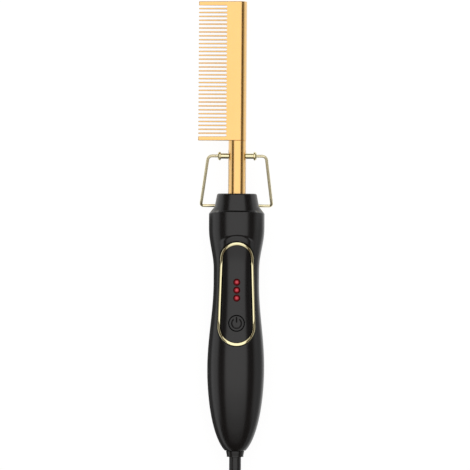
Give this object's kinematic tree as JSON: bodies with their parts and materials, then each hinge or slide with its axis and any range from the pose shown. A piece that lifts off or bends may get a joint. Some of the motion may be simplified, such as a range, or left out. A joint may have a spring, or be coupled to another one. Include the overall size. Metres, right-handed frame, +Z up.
{
  "type": "hot comb",
  "caption": "Electric hot comb: gilt straight-toothed heated comb on a neck tube with a folding wire stand, black grip with panel and button, and a mains cord on a swivel.",
  "frame": {"origin": "centre of the small flat on the back of the grip's belly, where the comb rests on the table", "axes": "+Y along the grip towards the comb's tip, +Z up from the table towards the panel, +X to the right with the teeth pointing to -X"},
  "size_m": [0.0517, 0.5458, 0.0355],
  "materials": {
    "gold_head": "gold-coloured plating, satin, fine brushing along the spine",
    "gilt_steel": "gilt plated steel, polished",
    "gilt_trim": "gilt plated plastic, polished",
    "satin_black": "satin black moulding, fine grain",
    "panel_black": "semi-gloss black moulding",
    "lamp_red": "red diffusing lens",
    "ceramic": "white alumina and mica insulation",
    "steel": "zinc plated steel",
    "brass": "bare brass contacts",
    "board": "green solder mask",
    "component": "black epoxy",
    "lead_white": "silicone and glass sleeving",
    "cord_black": "black PVC sheath, satin",
    "plug_black": "black moulded PVC, fine grain"
  },
  "bodies": {
    "handle": {"comb_head": "gold_head", "heater_core": "ceramic", "heater_sleeve": "ceramic", "temperature_sensor": "ceramic", "neck_tube": "gilt_steel", "stand_bush_left": "gilt_steel", "stand_bush_right": "gilt_steel", "nose_bush": "ceramic", "nose_cap": "satin_black", "neck_clamp": "steel", "front_shell": "satin_black", "rear_shell": "satin_black", "shell_screws": "steel", "control_panel": "panel_black", "trim_ring": "gilt_trim", "tact_switch": "steel", "lamp_1": "lamp_red", "lamp_2": "lamp_red", "lamp_3": "lamp_red", "circuit_board": "board", "controller_chip": "component", "triac": "component", "capacitor": "component", "fuse": "ceramic", "wire_terminals": "steel", "heater_leads": "lead_white", "sensor_leads": "lead_white", "supply_leads": "lead_white", "swivel_socket": "component", "swivel_brushes": "brass"},
    "stand": {"stand_wire": "gilt_steel"},
    "button": {"power_button": "panel_black", "switch_plunger": "component"},
    "swivel": {"swivel_spindle": "component", "slip_rings": "brass", "swivel_collar": "satin_black", "cord_boot": "cord_black", "cord_lead": "cord_black", "cord_hank": "cord_black", "cord_tie": "plug_black", "cord_tail": "cord_black", "plug_body": "plug_black", "plug_pins": "steel"}
  },
  "joints": [
    {"name": "stand_swing", "type": "hinge", "parent": "handle", "child": "stand", "pos_m": [0, 0.1347, 0.0175], "axis": [1, 0, 0], "range_deg": [-2, 135]},
    {"name": "power_press", "type": "slide", "parent": "handle", "child": "button", "axis": [0, 0, -1], "range_m": [0, 0.0006], "stiffness_N_per_m": 1500},
    {"name": "cord_swivel", "type": "hinge", "parent": "handle", "child": "swivel", "pos_m": [0, -0.0525, 0.0175], "axis": [0, 1, 0], "continuous": true}
  ]
}
